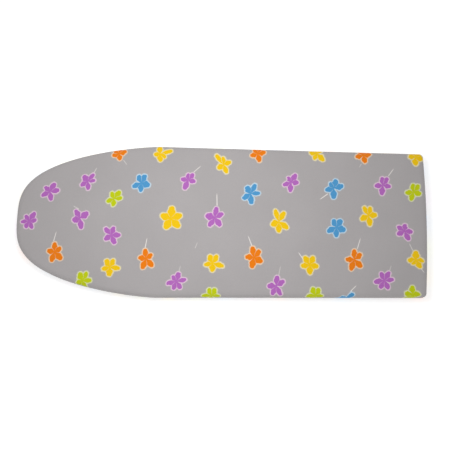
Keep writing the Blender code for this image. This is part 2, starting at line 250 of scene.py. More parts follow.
# ---------- printed flowers
# The print, ink by ink. Each flower: its centre in mm on the board, then its petals as
# (direction in degrees, reach in mm, half width in mm).
PRINT = {}
PRINT["purple"] = [
    (-343, 57, (63, 20, 5), (9, 19, 4.6), (-80, 19, 4.6), (210, 19, 4.4), (139, 15, 4.4)),
    (-268, 79, (128, 15, 6), (52, 20, 3.4), (8, 16, 3.4), (-83, 18, 4.3), (214, 17, 4)),
    (-381, -4, (60, 21, 4.6), (9, 15, 4.4), (-65, 17, 4), (243, 16, 4.4), (187, 17, 3.4),
     (127, 15, 4)),
    (-279, 3, (121, 20, 4.6), (38, 20, 5.8), (199, 16, 6), (-81, 22, 5)),
    (-215, -30, (133, 20, 4.2), (74, 18, 4.6), (2, 19, 4.6), (-63, 20, 4.6), (218, 16, 5)),
    (-65, 84, (92, 14, 4.2), (53, 17, 4.4), (-13, 15, 4.6), (-112, 21, 5), (173, 15, 4)),
    (-10, 8, (81, 22, 4.6), (29, 19, 4.4), (-54, 21, 5), (-122, 21, 4.6), (166, 19, 6.4)),
    (-82, -120, (76, 19, 4.6), (125, 14, 4.2), (13, 20, 3.7), (193, 20, 4), (-110, 17, 4.2),
     (-57, 17, 4.2)),
    (113, -125, (84, 20, 4.6), (33, 19, 4.8), (-65, 20, 4.2), (-117, 20, 4.2), (183, 17, 5.2)),
    (140, 82, (118, 13, 3.8), (58, 20, 4.8), (-3, 16, 4.6), (-93, 20, 4.4), (203, 17, 4)),
    (322, 78, (92, 17, 4.2), (58, 19, 4.2), (-8, 16, 4.2), (-96, 20, 4.8), (184, 16, 4.6)),
    (363, -14, (143, 17, 4.2), (86, 15, 4.6), (-3, 16, 4.6), (-63, 20, 4.6), (203, 16, 4.8)),
    (322, -111, (112, 17, 4.4), (58, 20, 4.6), (7, 19, 3.7), (-63, 19, 4.2), (-118, 18, 4.4),
     (190, 20, 4.6)),
]
PRINT["blue"] = [
    (-160, 77, (108, 17, 5.2), (63, 19, 5.6), (-17, 19, 6), (-90, 19, 4.6), (209, 19, 4.6)),
    (60, 58, (118, 17, 6), (63, 22, 4.4), (3, 19, 3.6), (-83, 22, 4.8), (218, 19, 4.7)),
    (225, 71, (73, 19, 5.6), (121, 14, 4.8), (16, 20, 5.2), (-90, 22, 5.4), (195, 17, 4.8)),
    (230, -8, (111, 17, 5.2), (58, 19, 5.6), (-18, 19, 6), (-90, 20, 4.6), (207, 20, 5)),
    (249, -151, (52, 19, 4.6), (146, 13, 4.6), (-20, 15, 4.6), (-95, 18, 4.6), (205, 16, 4.6)),
]
PRINT["orange"] = [
    (-326, -66, (92, 20, 4.6), (38, 16, 5), (-43, 21, 5.4), (-106, 20, 5), (167, 15, 5)),
    (-143, -76, (100, 20, 4.6), (39, 15, 4.6), (-49, 21, 5), (-110, 22, 5), (172, 16, 5)),
    (69, -70, (99, 22, 5), (52, 19, 5), (-30, 19, 6), (-102, 22, 5.2), (178, 17, 5)),
    (265, -71, (90, 20, 4.8), (40, 18, 4.8), (-49, 21, 5), (-110, 23, 5), (182, 17, 5)),
    (-207, 136, (27, 16, 5), (-80, 13, 4.6), (192, 14, 4.4), (140, 14, 5), (80, 15, 5)),
    (73, 140, (16, 16, 5.6), (-75, 18, 4.6), (198, 15, 4.6), (130, 14, 5), (75, 16, 5)),
    (283, 138, (15, 15, 5.2), (-68, 16, 4.6), (187, 15, 4.8), (130, 14, 5), (72, 16, 5)),
]
PRINT["yellow"] = [
    (-214, -94, (121, 18, 5.2), (67, 18, 4.8), (-6, 20, 4.2), (-93, 18, 5.6), (196, 17, 4.2)),
    (-97, 5, (87, 25, 6.6), (20, 23, 6.4), (-45, 25, 6.4), (-118, 24, 6.8), (162, 22, 6.4)),
    (5, 117, (128, 26, 3.7), (95, 16, 4.2), (21, 16, 4.6), (-69, 20, 4.2), (216, 15, 5.2)),
    (117, 2, (108, 26, 4.2), (61, 23, 4.8), (-37, 23, 5), (-90, 22, 5), (207, 17, 6.2)),
    (-12, -83, (112, 18, 5.2), (62, 19, 5), (-14, 23, 4.2), (-90, 17, 5.6), (192, 17, 4.2)),
    (178, -83, (122, 20, 5.2), (66, 19, 5.2), (-12, 17, 5.2), (-88, 19, 5.2), (188, 17, 5.2)),
    (293, 17, (117, 20, 4.2), (75, 18, 4.8), (4, 17, 5.2), (-81, 22, 4.6), (211, 18, 5.2)),
    (384, -70, (91, 18, 6), (-4, 15, 4.2), (-60, 18, 5), (184, 16, 4.8), (225, 12, 5)),
    (-124, 137, (94, 18, 4.6), (17, 26, 3.4), (-83, 16, 5.6), (185, 12, 4.4), (-30, 14, 5)),
    (191, 141, (168, 16, 4.4), (-112, 13, 4.4), (-42, 21, 4.6), (60, 16, 5), (110, 14, 5)),
    (387, 136, (171, 15, 4.4), (-86, 17, 5.4), (-27, 16, 5), (60, 16, 5), (115, 15, 5)),
]
PRINT["green"] = [
    (-213, 44, (52, 20, 5), (113, 15, 4.2), (8, 17, 4.2), (-94, 16, 4.6), (205, 16, 4.2)),
    (-267, -121, (113, 17, 6), (65, 19, 4.4), (2, 18, 4), (-75, 18, 5), (215, 15, 5)),
    (382, 66, (90, 16, 5), (50, 18, 4.8), (-21, 16, 4.8), (-107, 19, 4.6), (192, 16, 4.6)),
    (-13, -147, (110, 16, 4.8), (62, 17, 4.8), (183, 19, 3.8), (-4, 17, 3.8), (-90, 16, 5)),
    (187, -142, (101, 16, 5.4), (53, 17, 4.8), (188, 16, 4), (-8, 16, 4), (-90, 16, 5)),
    (374, -136, (81, 16, 5), (5, 14, 4.6), (178, 15, 4.2), (-70, 15, 5), (-130, 15, 5)),
]
FLOWERS = [(ink, x, y, petals) for ink, group in PRINT.items() for x, y, *petals in group]
# Each ink: the colour of its petals and of the pale halo round them.
INKS = {
    "purple": ((0.451, 0.139, 0.498), (0.820, 0.600, 0.740)),
    "blue": ((0.077, 0.313, 0.598), (0.560, 0.740, 0.860)),
    "orange": ((0.851, 0.205, 0.000), (0.900, 0.680, 0.450)),
    "yellow": ((0.889, 0.567, 0.000), (0.860, 0.780, 0.450)),
    "green": ((0.528, 0.606, 0.000), (0.780, 0.800, 0.460)),
}
# Each stem: where it leaves its flower and where it ends, in mm on the board, and
# how strongly it is printed.
STEMS = [
    (-257, 95, -251, 107, 0.6), (-329, -43, -325, -25, 0.9), (-197, 123, -190, 114, 0.5),
    (-283, 22, -294, 28, 0.6), (-54, 101, -41, 113, 0.8), (-6, 33, -7, 57, 1.0),
    (-146, -54, -143, -35, 0.95), (64, -46, 57, -28, 1.0), (-47, -53, -43, -42, 0.4),
    (-77, -99, -75, -89, 0.4), (118, -103, 121, -87, 0.45), (213, 59, 198, 48, 1.0),
    (334, 98, 344, 112, 0.8), (166, -73, 156, -59, 1.0), (271, -49, 277, -29, 0.9),
    (378, -51, 372, -38, 0.6), (392, -85, 399, -93, 0.7), (333, -91, 336, -82, 0.4),
    (257, -133, 268, -122, 0.9), (280, 121, 276, 114, 0.4),
]
PRINT_SHRINK = 0.0042
PRINT_SKEW = 0.0010
PRINT_SHIFT = (-0.1, -1.85)
# Petals to a flower; a missing one is far too thin to show.
PETALS = 6
NO_PETAL = (1.0, 0.0, -60.0)


def printed_at(x, y):
    """The print, in mm, sits a little tight and a little askew on the board."""
    return x * (1 - PRINT_SHRINK) + PRINT_SHIFT[0], y + PRINT_SHIFT[1] + PRINT_SKEW * x


# ---------- board shape
NOSE_STEPS = 54
SIDE_STEPS = 128
ARC_STEPS = 4
END_STEPS = NOSE_STEPS
NOSE_FINENESS = 1600


def distances(points):
    """How far along a line each of its points lies."""
    gone = [0.0]
    for (ax, ay), (bx, by) in zip(points, points[1:]):
        gone.append(gone[-1] + math.hypot(bx - ax, by - ay))
    return gone


def evenly(points, steps):
    """Evenly spaced points along a line, both its ends among them, and its length."""
    gone = distances(points)
    picked = []
    j = 0
    for k in range(steps + 1):
        want = gone[-1] * k / steps
        while j < len(gone) - 2 and gone[j + 1] < want:
            j += 1
        t = (want - gone[j]) / max(gone[j + 1] - gone[j], 1e-12)
        (ax, ay), (bx, by) = points[j], points[j + 1]
        picked.append((ax + (bx - ax) * t, ay + (by - ay) * t))
    return picked, gone[-1]


def nose_half(inset, steps):
    """Upper half of the nose from the tip to the full width, moved inwards."""
    fine = []
    for i in range(NOSE_FINENESS + 1):
        phi = (math.pi / 2) * (i / NOSE_FINENESS) ** 2.2
        u = math.cos(phi) ** (2 / NOSE_POWER_X)
        h = math.sin(phi) ** (2 / NOSE_POWER_Y)
        fine.append(((1 - u) * NOSE_LENGTH, h * WIDTH / 2))
    moved = []
    for i, (x, y) in enumerate(fine):
        ax, ay = fine[max(i - 1, 0)]
        bx, by = fine[min(i + 1, len(fine) - 1)]
        tx, ty = bx - ax, by - ay
        size = math.hypot(tx, ty)
        nx, ny = ty / size, -tx / size
        if i == 0:
            nx, ny = 1.0, 0.0
        if i == len(fine) - 1:
            nx, ny = 0.0, -1.0
        moved.append((x + nx * inset, max(y + ny * inset, 0.0)))
    return evenly(moved, steps)[0]


def upper_edge(inset, nose, side, end):
    """From the nose tip over the upper side to the middle of the square end."""
    edge = nose_half(inset, nose)
    radius = max(CORNER_RADIUS - inset, 0.004)
    end_x = LENGTH - inset
    end_y = WIDTH / 2 * (1 - TAIL_TAPER) - inset
    corner_x = end_x - TAIL_BOW - radius
    start_x, start_y = edge[-1]
    straight = side - ARC_STEPS
    for k in range(1, straight + 1):
        t = k / straight
        edge.append((start_x + (corner_x - start_x) * t, start_y + (end_y - start_y) * t))
    for k in range(1, 2 * ARC_STEPS + 1):
        a = math.pi / 2 * (1 - k / (2 * ARC_STEPS))
        edge.append((corner_x + radius * math.cos(a), end_y - radius + radius * math.sin(a)))
    rest = end - ARC_STEPS
    for k in range(1, rest + 1):
        y = (end_y - radius) * (1 - k / rest)
        edge.append((end_x - TAIL_BOW * (y / (end_y - radius)) ** 2, y))
    return [(x - LENGTH / 2, y) for x, y in edge]


def loop_at(inset, nose=NOSE_STEPS, side=SIDE_STEPS, end=END_STEPS):
    upper = upper_edge(inset, nose, side, end)
    return upper + [(x, -y) for x, y in reversed(upper[1:-1])]


def top_patch(inset, nose, side, end):
    """Grid of plan points inside the loop at this inset, and its rim in loop order."""
    upper = upper_edge(inset, nose, side, end)
    top = upper[nose : nose + side + 1]
    left = [(x, -y) for x, y in reversed(upper[: nose + 1])] + upper[1 : nose + 1]
    tail = upper[nose + side :]
    right = [(x, -y) for x, y in tail] + list(reversed(tail))[1:]
    rows = []
    for j in range(2 * nose + 1):
        v = j / (2 * nose)
        row = []
        for i in range(side + 1):
            u = i / side
            tx, ty = top[i]
            lx, ly = left[j]
            rx, ry = right[j]
            ax, ay = top[0]
            bx, by = top[-1]
            x = tx + (1 - u) * lx + u * rx - ((1 - u) * ax + u * bx)
            y = (2 * v - 1) * ty + (1 - u) * ly + u * ry
            y -= (2 * v - 1) * ((1 - u) * ay + u * by)
            row.append((x, y))
        rows.append(row)
    rim = [(nose + k, 0) for k in range(nose + 1)]
    rim += [(2 * nose, i) for i in range(1, side + 1)]
    rim += [(j, side) for j in range(2 * nose - 1, -1, -1)]
    rim += [(0, i) for i in range(side - 1, -1, -1)]
    rim += [(j, 0) for j in range(1, nose)]
    return rows, rim


def add(name, mesh, look, smooth=True):
    thing = placed(name, mesh)
    if look is not None:
        mesh.materials.clear()
        mesh.materials.append(look)
    if smooth:
        mesh.shade_smooth()
    return thing


def outward(mesh, weld=False):
    """Turn every face outwards, after joining points that lie together."""
    shape = bmesh.new()
    shape.from_mesh(mesh)
    if weld:
        bmesh.ops.remove_doubles(shape, verts=shape.verts, dist=0.00001)
    bmesh.ops.recalc_face_normals(shape, faces=shape.faces)
    shape.to_mesh(mesh)
    shape.free()
    return mesh


def mesh_of(name, points, faces):
    mesh = bpy.data.meshes.new(name)
    mesh.from_pydata(points, [], faces)
    return outward(mesh)


def grid_faces(base, rows, width):
    """Faces of a grid whose points are numbered row by row from base."""
    starts = [base + j * width + i for j in range(rows - 1) for i in range(width - 1)]
    return [(a, a + 1, a + 1 + width, a + width) for a in starts]


def band(before, now):
    """Faces between two rings of point numbers."""
    return list(zip(before, before[1:] + before[:1], now[1:] + now[:1], now))


def looped_faces(rings, count):
    """Faces that join rings of count points one after another, the last to the first."""
    numbers = [list(range(r * count, (r + 1) * count)) for r in range(rings)]
    faces = []
    for before, now in zip(numbers, numbers[1:] + numbers[:1]):
        faces += band(before, now)
    return faces


def finished(thing):
    """Apply the modifiers of a piece."""
    bpy.context.view_layer.update()
    graph = bpy.context.evaluated_depsgraph_get()
    seen = thing.evaluated_get(graph)
    mesh = bpy.data.meshes.new_from_object(seen, preserve_all_data_layers=True, depsgraph=graph)
    thing.modifiers.clear()
    thing.data = mesh


def fold_noise(x, y, size, seed):
    return noise.noise(Vector((x / size, y / size, seed)))


# ---------- cotton cover
# Section of the cover from the top round the edge and under, as (inset, height) in mm.
COVER_PROFILE = [
    (13.0, 33.4), (10.4, 33.25), (7.8, 32.95), (5.4, 32.4), (3.5, 31.5), (2.0, 30.3),
    (1.0, 28.8), (0.3, 27.0), (0.0, 24.8), (0.0, 21.8), (0.0, 18.6), (0.0, 15.4), (0.0, 12.8),
    (0.5, 11.0), (1.6, 9.7), (3.2, 9.0), (5.2, 8.8), (7.8, 9.2), (11.0, 10.0), (14.5, 11.1),
    (19.0, 12.5), (24.0, 14.0),
]
HEM_START = 13
BEND_START = 7
BEND_RINGS = 5
CREST_RINGS = 8
# Along the profile from its first point to the row of stitches, in mm.
STITCH_RUN = 47.5
PLEAT = 0.0078
PLEAT_DEPTH = 0.0010
RIPPLE = 0.00016
TOP_RELIEF = 0.00030
SINK = 0.0002
TURN_REACH = 0.022


def turning(loop, reach):
    """How far round each point of a loop lies, and how sharply the loop turns near it."""
    count = len(loop)
    travelled = distances(loop + loop[:1])
    total = travelled[-1]
    turns = []
    for n in range(count):
        (ax, ay), (bx, by), (cx, cy) = loop[n - 1], loop[n], loop[(n + 1) % count]
        way = math.atan2(cy - by, cx - bx) - math.atan2(by - ay, bx - ax)
        turns.append(abs((way + math.pi) % math.tau - math.pi))
    found = []
    for n in range(count):
        here = 0.0
        for m in range(count):
            gap = abs(travelled[m] - travelled[n])
            gap = min(gap, total - gap)
            if gap < 2 * reach:
                here += turns[m] * math.exp(-((gap / reach) ** 2))
        found.append(here)
    return travelled, found


def pleat_at(s):
    """Gathers along the hem: sharp little folds with wider slack between them."""
    tight = noise.noise(Vector((s / PLEAT, 0.4, 1.7)))
    wide = noise.noise(Vector((s / (2.6 * PLEAT), 2.4, 5.1)))
    return tight + 0.6 * wide


# Places and moves of the hem's last ring, for the elastic to follow.
hem_wave = []


def keep(mesh, domain, columns):
    """Store each column of vectors as an attribute of the mesh's points or faces."""
    for name, values in columns.items():
        layer = mesh.attributes.new(name, "FLOAT_VECTOR", domain)
        layer.data.foreach_set("vector", [c for v in values for c in v])


def cover_mesh():
    """The cloth, each point with its place in the flat print and along the hem."""
    top_inset, top_z = COVER_PROFILE[0]
    rows, rim = top_patch(top_inset * MM, NOSE_STEPS, SIDE_STEPS, END_STEPS)
    width = SIDE_STEPS + 1
    points = []
    cloth = []
    for row in rows:
        for x, y in row:
            lift = TOP_RELIEF * fold_noise(x, y, 0.110, 3.1) + RIPPLE * fold_noise(x, y, 0.034, 7.7)
            points.append((x, y, top_z * MM + lift - SINK))
            cloth.append((x / MM, y / MM, 0.0))
    faces = grid_faces(0, len(rows), width)
    ring = [j * width + i for j, i in rim]
    start = loop_at(top_inset * MM)
    outer = loop_at(0.0)
    away = []
    for (ax, ay), (bx, by) in zip(start, outer):
        size = math.hypot(bx - ax, by - ay)
        away.append(((bx - ax) / size, (by - ay) / size))
    run = 0.0
    travelled, turns = turning(outer, TURN_REACH)
    edge = [(0.0, 0.0, 0.0)] * len(points)
    for k in range(1, len(COVER_PROFILE)):
        inset, z = COVER_PROFILE[k]
        last_inset, last_z = COVER_PROFILE[k - 1]
        run += math.hypot(inset - last_inset, z - last_z)
        plan = loop_at(inset * MM)
        now = list(range(len(points), len(points) + len(ring)))
        gather = max(0.0, (k - HEM_START + 2) / (len(COVER_PROFILE) - HEM_START + 1))
        for n, (x, y) in enumerate(plan):
            s = travelled[n]
            fullness = 0.55 + min(1.6 * turns[n], 1.35)
            pleat = fullness * pleat_at(s)
            slack = fold_noise(x, y, 0.060, 11.0) + 0.5 * fold_noise(x, y, 0.022, 2.0)
            pull = RIPPLE * max(0.0, min(1.0, (k - BEND_START) / BEND_RINGS)) * pleat
            push = PLEAT_DEPTH * gather * pleat + pull
            push -= RIPPLE * min(k, CREST_RINGS) / CREST_RINGS * (1 + slack)
            lift = PLEAT_DEPTH * gather * pleat - SINK * gather
            nx, ny = away[n]
            points.append((x + nx * push, y + ny * push, z * MM + lift))
            edge.append((s / MM, run, 0.0))
            if k == len(COVER_PROFILE) - 1:
                hem_wave.append((x, y, nx * push, ny * push, lift))
            cloth.append((start[n][0] / MM + nx * run, start[n][1] / MM + ny * run, 0.0))
        faces += band(ring, now)
        ring = now
    mesh = bpy.data.meshes.new("cover_cotton")
    mesh.from_pydata(points, [], faces)
    keep(mesh, "POINT", {"cloth": cloth, "edge": edge})
    print_flowers(mesh, cloth)
    return outward(mesh)


EDGE_OUT = 0.022
EDGE_PITCH = 0.057
EDGE_CLEAR = 38.0
FAR_CORNER = 0.41
LOW_SIDE = -0.10


def edge_flowers():
    """More of the same print for the cloth round the edge and underneath."""
    dice = random.Random(11)
    inks = ("purple", "yellow", "blue", "orange", "green")
    loop = loop_at(-EDGE_OUT)
    extra = []
    gone = 0.0
    for (ax, ay), (bx, by) in zip(loop, loop[1:] + loop[:1]):
        gone += math.hypot(bx - ax, by - ay)
        if gone < EDGE_PITCH:
            continue
        gone -= EDGE_PITCH
        small = by < LOW_SIDE and abs(bx) < FAR_CORNER
        x, y = bx / MM, by / MM - (9.0 if small else 0.0)
        reach = 13.0 if small else 17.5
        start = dice.uniform(0.0, 72.0)
        petals = []
        for k in range(5):
            angle = start + 72 * k + dice.uniform(-10, 10)
            petals.append((angle, reach + dice.uniform(-1.5, 2.0), dice.uniform(4.0, 5.2)))
        ink = inks[(len(extra) * 2 + dice.randrange(2)) % len(inks)]
        if all(math.hypot(x - f[1], y - f[2]) > EDGE_CLEAR for f in FLOWERS):
            extra.append((ink, x, y, petals))
    return extra


def segment_distance(px, py, ax, ay, bx, by):
    dx, dy = bx - ax, by - ay
    t = max(0.0, min(1.0, ((px - ax) * dx + (py - ay) * dy) / (dx * dx + dy * dy)))
    return math.hypot(px - ax - t * dx, py - ay - t * dy)


def print_flowers(mesh, cloth):
    """Give every face the flower and the stem nearest to it, as face attributes."""
    columns = {"flower_at": [], "ink": [], "halo": [], "stem_from": [], "stem_run": []}
    for k in range(PETALS):
        columns["petal_%d" % k] = []
    flowers = FLOWERS + edge_flowers()
    for face in mesh.polygons:
        corners = [cloth[v] for v in face.vertices]
        cx = sum(c[0] for c in corners) / len(corners)
        cy = sum(c[1] for c in corners) / len(corners)
        gaps = [(x - cx) ** 2 + (y - cy) ** 2 for _, x, y, _ in flowers]
        best = gaps.index(min(gaps))
        ink, fx, fy, petals = flowers[best]
        columns["flower_at"].append((*printed_at(fx, fy), best * 3.7))
        columns["ink"].append(INKS[ink][0])
        columns["halo"].append(INKS[ink][1])
        for k in range(PETALS):
            if k >= len(petals):
                columns["petal_%d" % k].append(NO_PETAL)
                continue
            angle, reach, half = petals[k]
            a = math.radians(angle)
            half = 1.15 * half
            out = reach - 0.76 * half
            columns["petal_%d" % k].append((out * math.cos(a), out * math.sin(a), half))
        stem = min(STEMS, key=lambda s: segment_distance(cx, cy, *s[:4]))
        sx, sy = printed_at(stem[0], stem[1])
        tx, ty = printed_at(stem[2], stem[3])
        columns["stem_from"].append((sx, sy, stem[4]))
        columns["stem_run"].append((tx - sx, ty - sy, 0.0))
    keep(mesh, "FACE", columns)


def petal_group():
    """Distance in mm from a point to one petal, a rounded blade from the flower's centre."""
    tree = bpy.data.node_groups.new("petal", "ShaderNodeTree")
    for name in ("Place", "Petal"):
        tree.interface.new_socket(name, in_out="INPUT", socket_type="NodeSocketVector")
    tree.interface.new_socket("Distance", in_out="OUTPUT", socket_type="NodeSocketFloat")
    n = Nodes(tree)
    into = n.put("NodeGroupInput")
    out = n.put("NodeGroupOutput")
    x, y, half = n.split(into.outputs["Petal"])
    blade = n.join(x, y, 0.0)
    along = n.vector("DOT_PRODUCT", into.outputs["Place"], blade, out=1)
    square = n.vector("DOT_PRODUCT", blade, blade, out=1)
    t = n.math("DIVIDE", along, square, clamp=True)
    near = n.vector("SCALE", blade, scale=t)
    gap = n.vector("DISTANCE", into.outputs["Place"], near, out=1)
    rise = n.math("MULTIPLY_ADD", t, 1.78, 0.06)
    past = n.math("MAXIMUM", n.math("SUBTRACT", t, 0.66), 0.0)
    tip = n.math("MULTIPLY_ADD", n.math("MULTIPLY", past, past), -2.4, 1.05)
    swell = n.math("SMOOTH_MIN", rise, tip, 0.25)
    wide = n.math("MULTIPLY", swell, half)
    n.feed(out.inputs["Distance"], n.math("SUBTRACT", gap, wide))
    return tree


def weave(n, place, across, along):
    """Plain weave: two crossed sets of threads, in place units of mm."""
    x, y, _ = n.split(place)
    wx = n.math("SINE", n.math("MULTIPLY", x, across))
    wy = n.math("SINE", n.math("MULTIPLY", y, along))
    return n.math("MULTIPLY", wx, wy)


COTTON_GREY = (0.412, 0.391, 0.393)
STEM_WHITE = (0.86, 0.82, 0.78, 1.0)
# Colour of the painted shade along the sunk row of stitches on the hem.
STITCH_GROOVE_SHADE = (0.16, 0.15, 0.15, 1.0)
STITCH_PALE = (0.56, 0.55, 0.54, 1.0)
STITCH_LENGTH = 3.2
# Colour of the painted shade in the gaps between the threads of the weave.
THREAD_GAP_SHADE = (0.10, 0.10, 0.10, 1.0)


def cotton():
    """Printed cotton: grey ground, stems, halos, petals, hem stitches with painted shade along
    their sunk line, then the weave with painted shade between its threads.
    """
    made, shader, n = new_material("printed_cotton", COTTON_GREY, 0.88)
    cloth = n.attribute("cloth")
    spot = n.vector("SUBTRACT", cloth, n.attribute("flower_at"))
    x, y, _ = n.split(spot)
    seed = n.split(n.attribute("flower_at"))[2]
    flat = n.join(x, y, 0.0)
    where = n.join(x, y, seed)
    drift = n.vector("SUBTRACT", n.noise(where, 0.22, out="Color"), (0.5, 0.5, 0.5))
    dx, dy, _ = n.split(n.vector("SCALE", drift, scale=3.0))
    bent = n.vector("ADD", flat, n.join(dx, dy, 0.0))
    group = petal_group()
    nearest, second = 99.0, 99.0
    for k in range(PETALS):
        node = n.put("ShaderNodeGroup", node_tree=group)
        n.feed(node.inputs["Place"], bent)
        n.feed(node.inputs["Petal"], n.attribute("petal_%d" % k))
        second = n.math("MINIMUM", second, n.math("MAXIMUM", nearest, node.outputs[0]))
        nearest = n.math("MINIMUM", nearest, node.outputs[0])
    centre = n.vector("LENGTH", bent, out=1)
    seam = n.smooth(n.math("SUBTRACT", second, nearest), 0.25, 1.25, 1.0, 0.0)
    seam = n.math("MULTIPLY", seam, n.smooth(centre, 1.2, 6.5))
    brush = n.noise(where, 0.75, 3.0)
    petal = n.smooth(nearest, -0.45, 0.45, 1.0, 0.0)
    petal = n.math("MULTIPLY", petal, n.math("MULTIPLY_ADD", seam, -0.62, 1.0))
    halo = n.smooth(nearest, 0.6, 3.4, 0.95, 0.0)

    stem_x, stem_y, strength = n.split(n.attribute("stem_from"))
    stem_place = n.vector("SUBTRACT", cloth, n.join(stem_x, stem_y, 0.0))
    stem_run = n.attribute("stem_run")
    t = n.math(
        "DIVIDE",
        n.vector("DOT_PRODUCT", stem_place, stem_run, out=1),
        n.vector("DOT_PRODUCT", stem_run, stem_run, out=1),
        clamp=True,
    )
    off = n.vector("DISTANCE", stem_place, n.vector("SCALE", stem_run, scale=t), out=1)
    edge = n.math("MULTIPLY_ADD", t, -0.35, 1.45)
    worn = n.ramp(brush, 0.25, 0.6, 0.7, 1.0)
    stem = n.math("MULTIPLY", n.smooth(off, 0.25, edge, 1.0, 0.0), worn)
    stem = n.math("MULTIPLY", stem, n.math("MULTIPLY", strength, n.smooth(t, 0.8, 1.0, 1.0, 0.35)))

    mottle = n.noise(cloth, 0.010, 3.0)
    fine = n.noise(cloth, 0.35, 4.0, 0.7)
    grey = n.vector("SCALE", COTTON_GREY, scale=n.ramp(mottle, 0.3, 0.7, 0.975, 1.025))
    grey = n.vector("SCALE", grey, scale=n.ramp(fine, 0.3, 0.7, 0.975, 1.025))
    colour = n.mix(stem, grey, STEM_WHITE)
    halo = n.math("MULTIPLY", halo, n.ramp(brush, 0.2, 0.7, 0.7, 1.0))
    colour = n.mix(halo, colour, n.attribute("halo", "Color"))
    ink = n.vector("SCALE", n.attribute("ink"), scale=n.ramp(brush, 0.3, 0.7, 0.90, 1.08))
    colour = n.mix(petal, colour, ink)
    along, run, _ = n.split(n.attribute("edge"))
    line = n.smooth(n.math("ABSOLUTE", n.math("SUBTRACT", run, STITCH_RUN)), 0.18, 0.42, 1.0, 0.0)
    wave = n.math("SINE", n.math("MULTIPLY", along, math.tau / STITCH_LENGTH))
    stitch = n.math("MULTIPLY", line, n.smooth(wave, -0.55, -0.25))
    # Painted shade: the sunk stitch line is darkened a quarter of the way to the shade colour, then
    # the pale stitches go over it.
    colour = n.mix(n.math("MULTIPLY", line, 0.25), colour, STITCH_GROOVE_SHADE)
    colour = n.mix(stitch, colour, STITCH_PALE)
    threads = weave(n, cloth, 7.4, 8.1)
    # Painted shade: the gaps between the threads are darkened up to a twentieth of the way to the
    # shade colour.
    colour = n.mix(n.ramp(threads, -1.0, 1.0, 0.05, 0.0), colour, THREAD_GAP_SHADE)
    n.feed(shader.inputs["Base Color"], colour)
    shader.inputs["Sheen Weight"].default_value = 0.07
    shader.inputs["Sheen Roughness"].default_value = 0.6
    shader.inputs["Specular IOR Level"].default_value = 0.15
    slub = n.math("MULTIPLY_ADD", fine, 0.8, threads)
    cloth_normal = n.bump(slub, 0.30, 0.00025)
    sunk = n.math("SUBTRACT", stitch, line)
    n.feed(shader.inputs["Normal"], n.bump(sunk, 0.8, 0.0006, cloth_normal))
    return made


cover = add("cover_cotton", cover_mesh(), cotton())
thickness = cover.modifiers.new("cloth", "SOLIDIFY")
thickness.thickness = 0.0007
thickness.offset = -1.0
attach(cover, "board")
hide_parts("cover")

# ---------- felt pad
# Section of the pad from the top to its lower edge, as (inset, height) in mm.
PAD_PROFILE = [
    (13.5, 32.2), (10.0, 31.9), (7.2, 31.5), (5.0, 30.6), (3.4, 29.2), (2.5, 27.8), (2.1, 26.4),
]
FELT_WHITE = (0.82, 0.81, 0.77)


def pad_mesh():
    nose, side, end = 24, 60, 24
    points = []
    faces = []

    def lay_grid(inset, z, relief):
        rows, rim = top_patch(inset * MM, nose, side, end)
        base = len(points)
        for row in rows:
            for x, y in row:
                lift = -0.0002 + relief * fold_noise(x, y, 0.045, 4.0) if relief else 0.0
                points.append((x, y, z * MM + lift))
        faces.extend(grid_faces(base, len(rows), side + 1))
        return [base + j * (side + 1) + i for j, i in rim]

    ring = lay_grid(*PAD_PROFILE[0], 0.00018)
    for inset, z in PAD_PROFILE[1:]:
        now = list(range(len(points), len(points) + len(ring)))
        points.extend((x, y, z * MM) for x, y in loop_at(inset * MM, nose, side, end))
        faces.extend(band(ring, now))
        ring = now
    underside = lay_grid(inset + 0.4, z, 0.0)
    faces.extend(band(ring, underside))
    return mesh_of("felt_pad", points, faces)


def felt():
    made, shader, n = new_material("white_felt", FELT_WHITE, 0.96)
    place = object_place(n)
    fibres = n.noise(place, 420.0, 6.0, 0.75)
    tone = n.math("MULTIPLY_ADD", fibres, 0.22, n.patches(place, 70.0, 0.82, 0.94, 3.0))
    surface(n, shader, FELT_WHITE, tone, fibres, 0.6, 0.0006)
    shader.inputs["Sheen Weight"].default_value = 0.3
    return made


pad = add("felt_pad", pad_mesh(), felt())
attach(pad, "board")
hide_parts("pad")


# ---------- elastic edge
def elastic_mesh():
    """Flat elastic in a narrow hem, puckered all round by its own pull."""
    count, around = 760, 10
    fine = loop_at(0.0282, 120, 200, 60)
    middle, length = evenly(fine + fine[:1], count)
    middle.pop()
    points = []
    for k in range(count):
        x, y = middle[k]
        (ax, ay), (bx, by) = middle[k - 1], middle[(k + 1) % count]
        size = math.hypot(bx - ax, by - ay)
        nx, ny = (by - ay) / size, -(bx - ax) / size
        s = k * length / count
        pucker = math.sin(s / 0.0016) * 0.5 + 0.5 * noise.noise(Vector((s / 0.004, 1.0, 2.0)))
        near = sorted(hem_wave, key=lambda h: (h[0] - x) ** 2 + (h[1] - y) ** 2)[:3]
        shares = [1 / (math.hypot(h[0] - x, h[1] - y) + 0.0005) ** 2 for h in near]
        shift_x, shift_y, lift = (
            sum(w * h[i] for w, h in zip(shares, near)) / sum(shares) for i in (2, 3, 4)
        )
        for i in range(around):
            a = math.tau * i / around
            wide = 0.0036 * math.cos(a)
            tall = 0.0014 * math.sin(a) * (1 + 0.28 * pucker)
            out = wide * (1 + 0.10 * pucker)
            z = 0.0151 + tall - out * 0.30 + lift + 0.0002 * pucker
            points.append((x - nx * out + shift_x, y - ny * out + shift_y, z))
    return mesh_of("elastic_edge", points, looped_faces(count, around))


def elastic_look():
    made, shader, n = new_material("grey_elastic", (0.30, 0.29, 0.285), 0.85)
    place = object_place(n)
    ribs = n.noise(place, 700.0, 3.0)
    tone = n.math("MULTIPLY_ADD", ribs, 0.35, n.patches(place, 60.0, 0.75, 0.92))
    surface(n, shader, (0.34, 0.33, 0.325), tone, ribs, 0.5, 0.0004)
    shader.inputs["Sheen Weight"].default_value = 0.2
    return made


elastic = add("elastic_edge", elastic_mesh(), elastic_look())
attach(elastic, "board")
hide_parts("cover_elastic")


